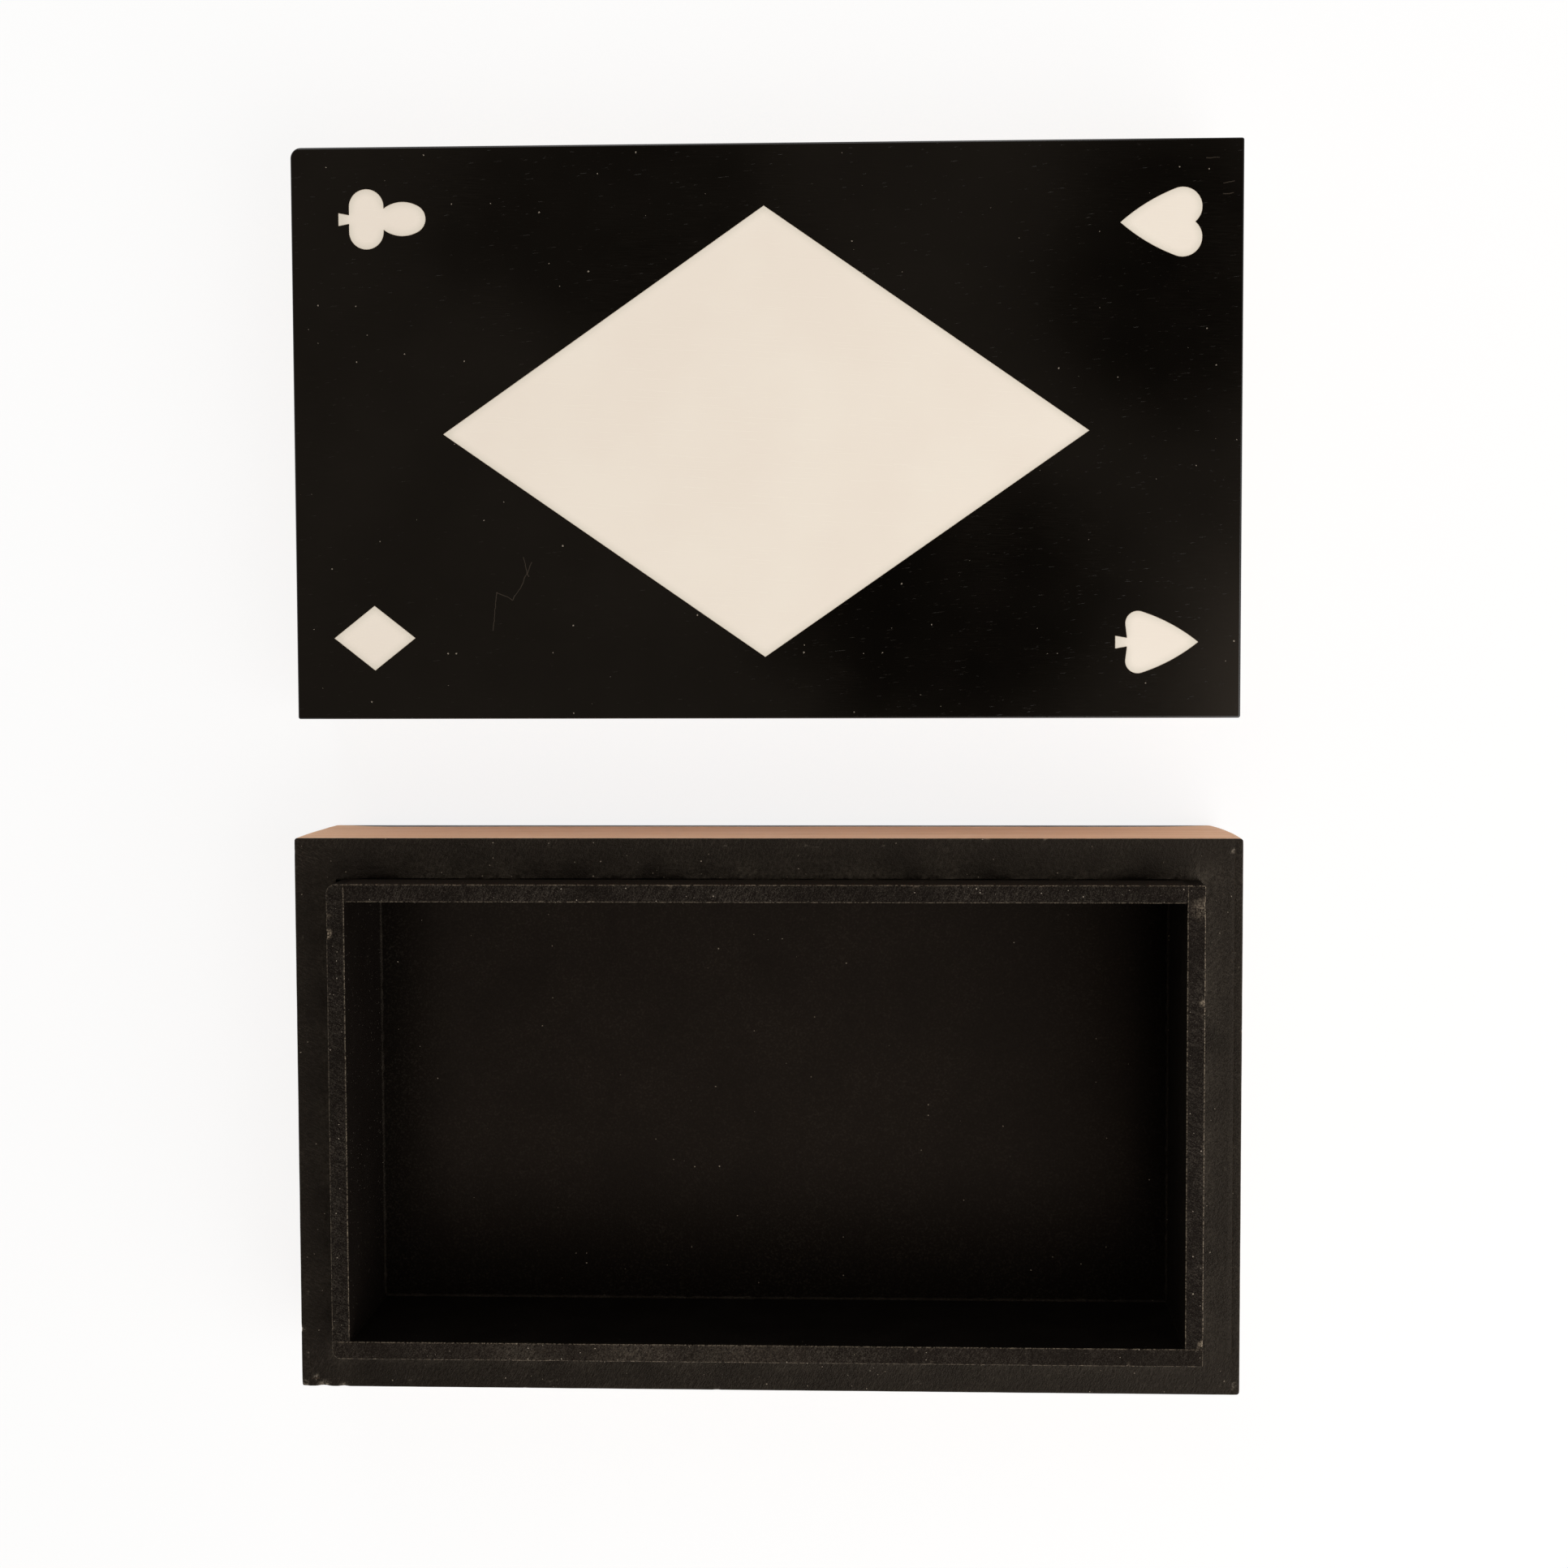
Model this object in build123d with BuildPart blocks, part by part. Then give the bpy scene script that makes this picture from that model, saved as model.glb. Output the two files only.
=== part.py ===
from build123d import *

import os
from math import asin, atan2, cos, degrees, radians, sin, tan

# Decorative card box with a lift-off lid, laid out open: the lid lies face up behind the base.
# Millimetres. The origin is the middle of the base's underside, +X runs along the box,
# +Y from the base towards the lid, and +Z up.

os.makedirs("parts", exist_ok=True)

# Base: walls with a ledge on top, and a liner that stands above the ledge as a lip
base_length = 254.0
base_depth = 150.0
ledge_height = 44.0
lip_height = 13.0
base_wall = 9.0
base_bottom = 8.0
liner = 4.8

# Lid: its walls go round the lip with a clearance, and it lies behind the base, across a gap
lid_height = 39.0
lid_end_wall = 7.7
lid_side_wall = 9.45
lid_panel_thickness = 6.0
lid_clearance = 0.8
lid_gap = 31.8

# Tan facing on the outside of the base and the lid
facing = 2.2

# Resin sheet on the lid, and the inlays in its cut-outs
top_sheet = 2.5
inlay_clearance = 0.1

# Large diamond: from the edges of the lid to its points
diamond_end_margin = 40.3
diamond_side_margin = 16.5

# Small diamond: from the lid's left and front edges to its middle
small_diamond_from_left = 21.2
small_diamond_from_front = 21.8
small_diamond_length = 22.0
small_diamond_depth = 17.4

# Club: from the lid's left and back edges to the middle of its paired lobes
club_from_left = 20.3
club_from_back = 19.1
club_pair_width = 9.3
club_pair_depth = 15.9
club_lobe_length = 12.4
club_lobe_depth = 9.0
club_lobe_reach = 9.7
club_lobe_flank_radius = 8.5
club_stem_reach = 7.5

# Heart: from the lid's right and back edges to its point, which looks left
heart_from_right = 32.4
heart_from_back = 21.8
heart_lobe_radius = 5.15
heart_lobe_reach = 16.35
heart_lobe_spread = 3.95
heart_shoulder_angle = 111.0

# Spade: from the lid's right and front edges to its point, which looks right
spade_from_right = 11.3
spade_from_front = 20.2
spade_lobe_radius = 3.3
spade_lobe_reach = 16.0
spade_lobe_spread = 5.0
spade_shoulder_angle = 72.0
spade_cheek_lean = 7.0
spade_stem_length = 3.1

# Stems of the club and the spade flare from the neck to the foot
stem_neck = 2.3
stem_foot = 3.4

# Roundings
corner_radius = 0.6
worn_corner_radius = 2.8
lip_left_radius = 2.4
lip_right_radius = 0.5
ledge_arris = 0.4
lip_arris = 0.4
top_arris = 0.5

# Steel pins through the corner joints, and how far they stand from the walls' long edges
pin_radius = 0.6
pin_length = 25.0
pin_clearance = 0.05
base_pin_inset = 12.0
lid_pin_inset = 7.5

# Sizes that follow from the ones above
ledge = facing + base_wall
lip_length = base_length - 2 * ledge
lip_depth = base_depth - 2 * ledge
lip_top = ledge_height + lip_height
lid_length = lip_length + 2 * (lid_clearance + lid_end_wall + facing)
lid_depth = lip_depth + 2 * (lid_clearance + lid_side_wall + facing)
lid_y = base_depth / 2 + lid_gap + lid_depth / 2
lid_facing_height = lid_height - top_sheet
lid_wall_height = lid_facing_height - lid_panel_thickness


def save(piece, label):
    """Labels a finished piece and writes it to its own file."""
    piece.part.label = label
    export_step(piece.part, f"parts/{label}.step")


def plan(x_low, x_high, y_low, y_high):
    """Draws one rectangle, given by its four sides, in the sketch that is open."""
    with Locations(((x_low + x_high) / 2, (y_low + y_high) / 2)):
        Rectangle(x_high - x_low, y_high - y_low)


def corner_pins(middle_y, length, depth, side_wall, end_wall, heights, radius):
    """Makes the pins of one carcass: through the front wall along Y, and through both end walls along X."""
    front = middle_y - depth / 2
    side = length / 2
    back_row = middle_y + depth / 2 - side_wall / 2
    with BuildPart() as pins:
        with BuildSketch(Plane((0, front, 0), x_dir=(1, 0, 0), z_dir=(0, 1, 0))):
            with Locations(*[(x, -z) for x in (end_wall / 2 - side, side - end_wall / 2) for z in heights]):
                Circle(radius)
        extrude(amount=pin_length)
        for direction in (-1, 1):
            with BuildSketch(Plane((direction * side, 0, 0), x_dir=(0, 1, 0), z_dir=(-direction, 0, 0))):
                with Locations(*[(back_row, -direction * z) for z in heights]):
                    Circle(radius)
            extrude(amount=pin_length)
    return pins


def carcass(name, middle_y, length, depth, side_wall, end_wall, height, pin_inset):
    """Makes the four butt-jointed walls of the base or the lid, with their pins.

    The front wall runs the whole length, the end walls stand behind it, and the back wall fits between them.
    """
    front = middle_y - depth / 2
    back = middle_y + depth / 2
    side = length / 2
    heights = (pin_inset, height - pin_inset)
    pins = corner_pins(middle_y, length, depth, side_wall, end_wall, heights, pin_radius)
    holes = corner_pins(middle_y, length, depth, side_wall, end_wall, heights, pin_radius + pin_clearance)
    sides = {
        "front": (-side, side, front, front + side_wall),
        "left": (-side, end_wall - side, front + side_wall, back),
        "right": (side - end_wall, side, front + side_wall, back),
        "back": (end_wall - side, side - end_wall, back - side_wall, back),
    }
    for place, rectangle in sides.items():
        with BuildPart() as board:
            with BuildSketch():
                plan(*rectangle)
            extrude(amount=height)
            add(holes.part, mode=Mode.SUBTRACT)
        save(board, f"{name}_{place}_wall")
    save(pins, f"{name}_corner_pins")


def footprint(middle_y, length, depth, back_left_radius):
    """Draws the outline of the base or the lid seen from above, with its rounded upright corners."""
    with BuildSketch(Plane((0, middle_y, 0))) as outline:
        Rectangle(length, depth)
        corners = outline.vertices().sort_by(Axis.X)
        back_left = corners[:2].sort_by(Axis.Y)[-1]
        fillet([corner for corner in corners if corner != back_left], radius=corner_radius)
        fillet(outline.vertices().sort_by_distance((-length / 2, depth / 2))[0], radius=back_left_radius)
    return outline


def facings(name, middle_y, length, depth, height, arris, outline):
    """Makes the four facings of the base or the lid: the end ones cover the ends of the other two.

    The arris rounds the upper outer edge, and is 0 where another sheet lies on top.
    """
    front = middle_y - depth / 2
    back = middle_y + depth / 2
    side = length / 2
    sides = {
        "front": (facing - side, side - facing, front, front + facing),
        "back": (facing - side, side - facing, back - facing, back),
        "left": (-side, facing - side, front, back),
        "right": (side - facing, side, front, back),
    }
    for place, rectangle in sides.items():
        with BuildPart() as sheet:
            with BuildSketch():
                plan(*rectangle)
                add(outline.sketch, mode=Mode.INTERSECT)
            extrude(amount=height)
            if arris:
                rim = sheet.faces().sort_by(Axis.Z)[-1].edges()
                outer = {
                    "front": rim.sort_by(Axis.Y)[:1],
                    "back": rim.sort_by(Axis.Y)[-1:],
                    "left": rim.sort_by(Axis.X)[:-1],
                    "right": rim.sort_by(Axis.X)[1:],
                }
                fillet(outer[place], radius=arris)
        save(sheet, f"{name}_{place}_facing")


def ring_point(center, radius, angle):
    """The point of a circle at an angle in degrees from +X."""
    return (center[0] + radius * cos(radians(angle)), center[1] + radius * sin(radians(angle)))


def inlay_plane(x, y):
    """The plane of an inlay's outline, on the lid panel, with its origin at x, y on the lid."""
    return Plane((x, lid_y + y, lid_facing_height))


# Base walls, facings and bottom
carcass(
    "base",
    0,
    base_length - 2 * facing,
    base_depth - 2 * facing,
    base_wall,
    base_wall,
    ledge_height,
    base_pin_inset,
)
base_outline = footprint(0, base_length, base_depth, corner_radius)
facings("base", 0, base_length, base_depth, ledge_height, ledge_arris, base_outline)

with BuildPart() as base_bottom_panel:
    with BuildSketch():
        Rectangle(lip_length, lip_depth)
    extrude(amount=base_bottom)
save(base_bottom_panel, "base_bottom_panel")

# Liner: the front board runs the whole length, the end boards stand behind it and the back one between them
lip_side = lip_length / 2
lip_front = -lip_depth / 2
lip_back = lip_depth / 2
liner_plan = {
    "front": (-lip_side, lip_side, lip_front, lip_front + liner),
    "left": (-lip_side, liner - lip_side, lip_front + liner, lip_back),
    "right": (lip_side - liner, lip_side, lip_front + liner, lip_back),
    "back": (liner - lip_side, lip_side - liner, lip_back - liner, lip_back),
}
# Rounded upright corners of the lip, by board: each one's column along X, row along Y, and radius
lip_corners = {
    "front": ((0, 0, lip_left_radius), (-1, 0, lip_right_radius)),
    "left": ((0, -1, lip_left_radius),),
    "right": ((-1, -1, lip_right_radius),),
    "back": (),
}
for place, rectangle in liner_plan.items():
    with BuildPart() as board:
        with BuildSketch(Plane.XY.offset(base_bottom)):
            plan(*rectangle)
        extrude(amount=lip_top - base_bottom)
        for column, row, radius in lip_corners[place]:
            upright = board.edges().filter_by(Axis.Z).group_by(Axis.X)[column].sort_by(Axis.Y)[row]
            fillet(upright, radius=radius)
        rim = board.faces().sort_by(Axis.Z)[-1].edges()
        butted = {
            "front": ShapeList(),
            "left": rim.sort_by(Axis.Y)[:1],
            "right": rim.sort_by(Axis.Y)[:1],
            "back": rim.filter_by(Axis.Y),
        }
        fillet(rim - butted[place], radius=lip_arris)
    save(board, f"liner_{place}")

# Lid walls, facings and panel
carcass(
    "lid",
    lid_y,
    lid_length - 2 * facing,
    lid_depth - 2 * facing,
    lid_side_wall,
    lid_end_wall,
    lid_wall_height,
    lid_pin_inset,
)
lid_outline = footprint(lid_y, lid_length, lid_depth, worn_corner_radius)
facings("lid", lid_y, lid_length, lid_depth, lid_facing_height, 0, lid_outline)

with BuildPart() as lid_panel:
    with BuildSketch(Plane((0, lid_y, lid_wall_height))):
        Rectangle(lid_length - 2 * facing, lid_depth - 2 * facing)
    extrude(amount=lid_panel_thickness)
save(lid_panel, "lid_panel")

# Outlines of the inlays
with BuildSketch(inlay_plane(0, 0)) as large_diamond:
    half_length = lid_length / 2 - diamond_end_margin
    half_depth = lid_depth / 2 - diamond_side_margin
    Polygon((-half_length, 0), (0, -half_depth), (half_length, 0), (0, half_depth))

small_diamond_x = small_diamond_from_left - lid_length / 2
small_diamond_y = small_diamond_from_front - lid_depth / 2
with BuildSketch(inlay_plane(small_diamond_x, small_diamond_y)) as small_diamond:
    half_length = small_diamond_length / 2
    half_depth = small_diamond_depth / 2
    Polygon((-half_length, 0), (0, -half_depth), (half_length, 0), (0, half_depth))

with BuildSketch(inlay_plane(club_from_left - lid_length / 2, lid_depth / 2 - club_from_back)) as club:
    SlotOverall(club_pair_depth, club_pair_width, rotation=90)
    # The third lobe is an oval: two flat flank arcs, tangent to two round end arcs
    half_length = club_lobe_length / 2
    half_depth = club_lobe_depth / 2
    flank_radius = club_lobe_flank_radius
    flank_drop = flank_radius - half_depth
    end_radius = (flank_drop**2 + half_length**2 - flank_radius**2) / 2 / (half_length - flank_radius)
    end_center = half_length - end_radius
    lean = degrees(atan2(flank_drop, end_center))
    right = ring_point((club_lobe_reach + end_center, 0), end_radius, lean)
    left = ring_point((club_lobe_reach - end_center, 0), end_radius, 180 - lean)
    with BuildLine():
        ThreePointArc(left, (club_lobe_reach, half_depth), right)
        ThreePointArc(right, (club_lobe_reach + half_length, 0), (right[0], -right[1]))
        ThreePointArc((right[0], -right[1]), (club_lobe_reach, -half_depth), (left[0], -left[1]))
        ThreePointArc((left[0], -left[1]), (club_lobe_reach - half_length, 0), left)
    make_face()
    Polygon(
        (-club_stem_reach, stem_foot / 2),
        (-club_stem_reach, -stem_foot / 2),
        (-club_pair_width / 2, -stem_neck / 2),
        (0, -stem_neck / 2),
        (0, stem_neck / 2),
        (-club_pair_width / 2, stem_neck / 2),
        align=None,
    )

with BuildSketch(inlay_plane(lid_length / 2 - heart_from_right, lid_depth / 2 - heart_from_back)) as heart:
    lobe = (heart_lobe_reach, heart_lobe_spread)
    notch_angle = -degrees(asin(heart_lobe_spread / heart_lobe_radius))
    shoulder = ring_point(lobe, heart_lobe_radius, heart_shoulder_angle)
    with BuildLine():
        TangentArc(
            shoulder,
            (0, 0),
            tangent=(-sin(radians(heart_shoulder_angle)), cos(radians(heart_shoulder_angle))),
        )
        ThreePointArc(
            ring_point(lobe, heart_lobe_radius, notch_angle),
            ring_point(lobe, heart_lobe_radius, (notch_angle + heart_shoulder_angle) / 2),
            shoulder,
        )
        mirror(about=Plane.XZ)
    make_face()

with BuildSketch(inlay_plane(lid_length / 2 - spade_from_right, spade_from_front - lid_depth / 2)) as spade:
    lobe = (-spade_lobe_reach, spade_lobe_spread)
    cheek_angle = 180 + spade_cheek_lean
    shoulder = ring_point(lobe, spade_lobe_radius, spade_shoulder_angle)
    cheek = ring_point(lobe, spade_lobe_radius, cheek_angle)
    neck = (cheek[0] + (cheek[1] - stem_neck / 2) * tan(radians(spade_cheek_lean)), stem_neck / 2)
    foot = (neck[0] - spade_stem_length, stem_foot / 2)
    with BuildLine():
        TangentArc(
            shoulder,
            (0, 0),
            tangent=(sin(radians(spade_shoulder_angle)), -cos(radians(spade_shoulder_angle))),
        )
        ThreePointArc(
            shoulder,
            ring_point(lobe, spade_lobe_radius, (spade_shoulder_angle + cheek_angle) / 2),
            cheek,
        )
        Polyline(cheek, neck, foot, (foot[0], 0))
        mirror(about=Plane.XZ)
    make_face()

outlines = {
    "inlay_large_diamond": large_diamond,
    "inlay_small_diamond": small_diamond,
    "inlay_club": club,
    "inlay_heart": heart,
    "inlay_spade": spade,
}

# Top sheet with a cut-out for each inlay, and the inlays
with BuildPart() as lid_top_sheet:
    extrude(Plane.XY.offset(lid_facing_height) * lid_outline.sketch, amount=top_sheet)
    fillet(lid_top_sheet.faces().sort_by(Axis.Z)[-1].edges(), radius=top_arris)
    for outline in outlines.values():
        cut_out = offset(outline.sketch, amount=inlay_clearance, mode=Mode.PRIVATE)
        extrude(cut_out, amount=top_sheet, mode=Mode.SUBTRACT)
save(lid_top_sheet, "lid_top_sheet")

for label, outline in outlines.items():
    with BuildPart() as inlay:
        extrude(outline.sketch, amount=top_sheet)
    save(inlay, label)
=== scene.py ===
"""Dresses the decorative card box: worn painted boards, tan veneer sides and an inlaid, polished lid.

Sizes are in millimetres unless a name says otherwise, and colours are sRGB hex values.
"""

import logging
import math
import random
from dataclasses import dataclass, field, replace
from enum import Enum

import bmesh
import bpy
from mathutils import Matrix, Vector, noise


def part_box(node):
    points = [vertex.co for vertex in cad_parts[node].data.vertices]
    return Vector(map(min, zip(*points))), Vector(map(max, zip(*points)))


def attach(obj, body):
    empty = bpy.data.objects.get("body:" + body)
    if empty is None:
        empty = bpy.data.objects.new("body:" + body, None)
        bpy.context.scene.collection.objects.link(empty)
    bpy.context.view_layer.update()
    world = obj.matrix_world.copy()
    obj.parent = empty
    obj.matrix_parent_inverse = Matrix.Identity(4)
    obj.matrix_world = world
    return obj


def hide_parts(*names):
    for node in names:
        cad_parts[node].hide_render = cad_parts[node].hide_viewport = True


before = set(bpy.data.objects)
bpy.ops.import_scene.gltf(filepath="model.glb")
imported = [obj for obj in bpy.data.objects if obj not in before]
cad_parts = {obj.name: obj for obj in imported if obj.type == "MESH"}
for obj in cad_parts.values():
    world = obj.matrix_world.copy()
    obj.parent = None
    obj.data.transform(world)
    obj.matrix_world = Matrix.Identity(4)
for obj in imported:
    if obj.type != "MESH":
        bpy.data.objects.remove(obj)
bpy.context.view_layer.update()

MM = 0.001
BASE_BODY = "base"
PAINTED_SLOT = "painted_fibreboard"
VENEER_SLOT = "tan_facing"
# Attributes of the worn boards: where the paint is rubbed off, and where dust has settled
WORN = "worn"
DUSTY = "dusty"
# Points closer than this are one place
NEAR = 0.01
# An edge that is shorter than a span by less than this runs along all of it
SLACK = 0.1
# Faces that meet at a sharper angle keep a crisp edge
CRISP_ANGLE = math.radians(40)
BEVEL = {"profile": 0.5, "affect": "EDGES", "material": -1}
POLYESTER_IOR = 1.54
WHITE = "#ffffff"

# A node stands for its first output
Source = bpy.types.Node | bpy.types.NodeSocket
Level = bpy.types.Node | bpy.types.NodeSocket | float
Colour = bpy.types.Node | bpy.types.NodeSocket | tuple[float, ...]
Inputs = dict[int | str, object]
Place = tuple[float, float, float]
Pair = tuple[float, float]

log = logging.getLogger("card_box")


class Run(Enum):
    """Axis that a board runs along, by its index."""

    X = 0
    Y = 1

    @property
    def across(self) -> int:
        """Index of the level axis square to the run."""
        return 1 - self.value

    @property
    def turn(self) -> float:
        """Angle about Z from +X to the run, in radians."""
        return self.value * math.pi / 2


class Side(Enum):
    """Side of a board, by the index of its axis and the way it faces."""

    LEFT = (0, -1)
    RIGHT = (0, 1)
    FRONT = (1, -1)
    BACK = (1, 1)

    @property
    def opposite(self) -> "Side":
        """The side across the board."""
        axis, sign = self.value
        return Side((axis, -sign))


# Axis that the boards on each side of the box run along
RUNS = {"front": Run.X, "back": Run.X, "left": Run.Y, "right": Run.Y}


def linear(hex_colour: str) -> tuple[float, float, float, float]:
    """Turns an sRGB hex colour into linear RGBA.

    Args:
        hex_colour: A hash and six hex digits.

    Returns:
        Red, green and blue, with an alpha of 1.
    """
    shares = [int(hex_colour[place : place + 2], 16) / 255 for place in (1, 3, 5)]
    levels = [share / 12.92 if share <= 0.04045 else ((share + 0.055) / 1.055) ** 2.4 for share in shares]
    return (*levels, 1.0)


def add_node(
    tree: bpy.types.NodeTree, kind: str, inputs: Inputs | None = None, **settings: object
) -> bpy.types.Node:
    """Adds a node to a tree, sets its options, and sets or links its inputs.

    Args:
        tree: Node tree of a material or the world.
        kind: Blender's name for the node's type.
        inputs: A value or a source to link, for each input by index or name.
        **settings: Options of the node.

    Returns:
        The new node.
    """
    node = tree.nodes.new(kind)
    for name, value in settings.items():
        setattr(node, name, value)
    wire(tree, node, inputs or {})
    return node


def wire(tree: bpy.types.NodeTree, node: bpy.types.Node, inputs: Inputs) -> None:
    """Sets or links the inputs of a node.

    Args:
        tree: Node tree that holds the node.
        node: Node whose inputs are set.
        inputs: A value or a source to link, for each input by index or name.
    """
    for key, value in inputs.items():
        if isinstance(value, bpy.types.Node):
            tree.links.new(value.outputs[0], node.inputs[key])
        elif isinstance(value, bpy.types.NodeSocket):
            tree.links.new(value, node.inputs[key])
        else:
            node.inputs[key].default_value = value


def add_piece(name: str, mesh: bmesh.types.BMesh, material: bpy.types.Material) -> bpy.types.Object:
    """Makes a piece from a mesh in millimetres, which is used up, and dresses it.

    Args:
        name: The piece's name.
        mesh: Its mesh.
        material: Its finish.

    Returns:
        The piece.
    """
    bmesh.ops.scale(mesh, vec=(MM, MM, MM), verts=mesh.verts)
    data = bpy.data.meshes.new(name)
    mesh.to_mesh(data)
    mesh.free()
    data.shade_smooth()
    data.set_sharp_from_angle(angle=CRISP_ANGLE)
    data.materials.append(material)
    piece = bpy.data.objects.new(name, data)
    bpy.context.scene.collection.objects.link(piece)
    log.info("%s: %d faces", name, len(data.polygons))
    return piece


def edges_along(mesh: bmesh.types.BMesh, axis: int, span: float) -> list[bmesh.types.BMEdge]:
    """Finds the edges that run along all of a span.

    Args:
        mesh: Mesh that is searched.
        axis: Index of the axis that the span lies along.
        span: Its length.

    Returns:
        The edges.
    """
    return [edge for edge in mesh.edges if abs((edge.verts[0].co - edge.verts[1].co)[axis]) > span - SLACK]


class Shading:
    """Node tree of one material, on the piece's own coordinates in millimetres."""

    # Uneven outline of a speck: its waves in one radius, and how far they reach in radii
    SPECK_WAVES = 0.8
    SPECK_REACH = 1.6
    WAVER_SIZE = 3.0

    def __init__(self, name: str) -> None:
        """Starts a material that has a Principled shader.

        Args:
            name: The material's name.
        """
        self.material = bpy.data.materials.new(name)
        self.material.use_nodes = True
        self.tree = self.material.node_tree
        self.shader = self.tree.nodes["Principled BSDF"]
        place = self.add("ShaderNodeTexCoord").outputs["Object"]
        self.place = self.add("ShaderNodeVectorMath", {0: place, "Scale": 1 / MM}, operation="SCALE")

    def add(self, kind: str, inputs: Inputs | None = None, **settings: object) -> bpy.types.Node:
        """Adds a node to this material, as add_node does."""
        return add_node(self.tree, kind, inputs, **settings)

    def finish(self, **inputs: object) -> bpy.types.Material:
        """Feeds the Principled shader and gives the material back.

        Args:
            **inputs: A value or a source for each input, with its spaces as underscores.

        Returns:
            The finished material.
        """
        wire(self.tree, self.shader, {name.replace("_", " "): value for name, value in inputs.items()})
        return self.material

    def clouds(self, size: float, low: float, high: float, detail: float = 2.0) -> Source:
        """Soft noise, stretched to the whole range from 0 to 1.

        Args:
            size: Width of one cloud.
            low: Noise level that becomes 0.
            high: Noise level that becomes 1.
            detail: How many finer layers the noise has.

        Returns:
            The level.
        """
        soft = self.add("ShaderNodeTexNoise", {"Vector": self.place, "Scale": 1 / size, "Detail": detail})
        return self.add("ShaderNodeMapRange", {"Value": soft, "From Min": low, "From Max": high})

    def streaks(self, turn: float, length: float, width: float, low: float, high: float) -> Source:
        """Long thin marks that lie one way.

        Args:
            turn: Angle of the marks about Z from +X, in radians.
            length: Length of a mark.
            width: Width of a mark.
            low: Noise level that becomes 0.
            high: Noise level that becomes 1.

        Returns:
            The level.
        """
        laid = self.add(
            "ShaderNodeMapping",
            {"Vector": self.place, "Rotation": (0, 0, turn), "Scale": (length, width, width)},
            vector_type="TEXTURE",
        )
        soft = self.add("ShaderNodeTexNoise", {"Vector": laid, "Scale": 1.0, "Detail": 2.0})
        return self.add("ShaderNodeMapRange", {"Value": soft, "From Min": low, "From Max": high})

    def specks(self, spacing: float, radius: float, share: float) -> Source:
        """Scattered specks of uneven outline.

        Args:
            spacing: Distance between the places that may hold a speck.
            radius: Radius of the largest speck.
            share: Share of the places that hold one.

        Returns:
            A level that is 1 inside a speck and 0 elsewhere.
        """
        waves = self.add("ShaderNodeTexNoise", {"Vector": self.place, "Scale": self.SPECK_WAVES / radius})
        reach = (self.SPECK_REACH * radius,) * 3
        shaken = self.add(
            "ShaderNodeVectorMath",
            {0: waves.outputs["Color"], 1: reach, 2: self.place},
            operation="MULTIPLY_ADD",
        )
        cells = self.add("ShaderNodeTexVoronoi", {"Vector": shaken, "Scale": 1 / spacing}).outputs
        chances = self.add("ShaderNodeSeparateColor", {0: cells["Color"]}).outputs
        size = self.product(chances[1], radius / spacing)
        inside = self.add("ShaderNodeMath", {0: cells["Distance"], 1: size}, operation="LESS_THAN")
        chosen = self.add("ShaderNodeMath", {0: chances[0], 1: share}, operation="LESS_THAN")
        return self.product(inside, chosen)

    def hairline(self, start: Pair, end: Pair, width: float) -> Source:
        """One straight, slightly wavering scratch on a level face.

        Args:
            start: One end in x and y.
            end: The other end.
            width: Width of the scratch.

        Returns:
            A level that is 1 on the scratch and 0 elsewhere.
        """
        way = Vector(end) - Vector(start)
        middle = (Vector(start) + Vector(end)) / 2
        laid = self.add(
            "ShaderNodeMapping",
            {"Vector": self.place, "Location": (*middle, 0), "Rotation": (0, 0, math.atan2(way.y, way.x))},
            vector_type="TEXTURE",
        )
        along, aside, _ = self.add("ShaderNodeSeparateXYZ", {0: laid}).outputs
        waver = self.clouds(size=self.WAVER_SIZE, low=0.0, high=1.0)
        aside = self.add("ShaderNodeMath", {0: aside, 1: waver}, operation="ADD")
        # The noise wavers about its middle level
        close = self.add("ShaderNodeMath", {0: aside, 1: 0.5, 2: width / 2}, operation="COMPARE")
        within = self.add("ShaderNodeMath", {0: along, 1: 0.0, 2: way.length / 2}, operation="COMPARE")
        return self.product(close, within)

    def rise(self) -> Source:
        """How far a face looks up, from -1 where it looks down to 1."""
        facing = self.add("ShaderNodeNewGeometry").outputs["Normal"]
        return self.add("ShaderNodeSeparateXYZ", {0: facing}).outputs[2]

    def product(self, *levels: Level) -> Source:
        """The product of two or more levels."""
        made = levels[0]
        for level in levels[1:]:
            made = self.add("ShaderNodeMath", {0: made, 1: level}, operation="MULTIPLY")
        return made

    def layers(self, ground: Colour, *coats: tuple[Colour, Level]) -> Source:
        """Lays colours over one another.

        Args:
            ground: The lowest colour.
            *coats: Each further colour and how much it covers, from 0 to 1, the highest one last.

        Returns:
            The colour that is seen.
        """
        for colour, cover in coats:
            mixed = self.add("ShaderNodeMix", {0: cover, 6: ground, 7: colour}, data_type="RGBA")
            ground = mixed.outputs[2]
        return ground


@dataclass(frozen=True)
class Coat:
    """What makes up a surface inside a material.

    Attributes:
        colour: Its colour.
        roughness: Its roughness.
        height: Its relief, from 0 to 1.
    """

    colour: Source
    roughness: Source
    height: Source


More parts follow.
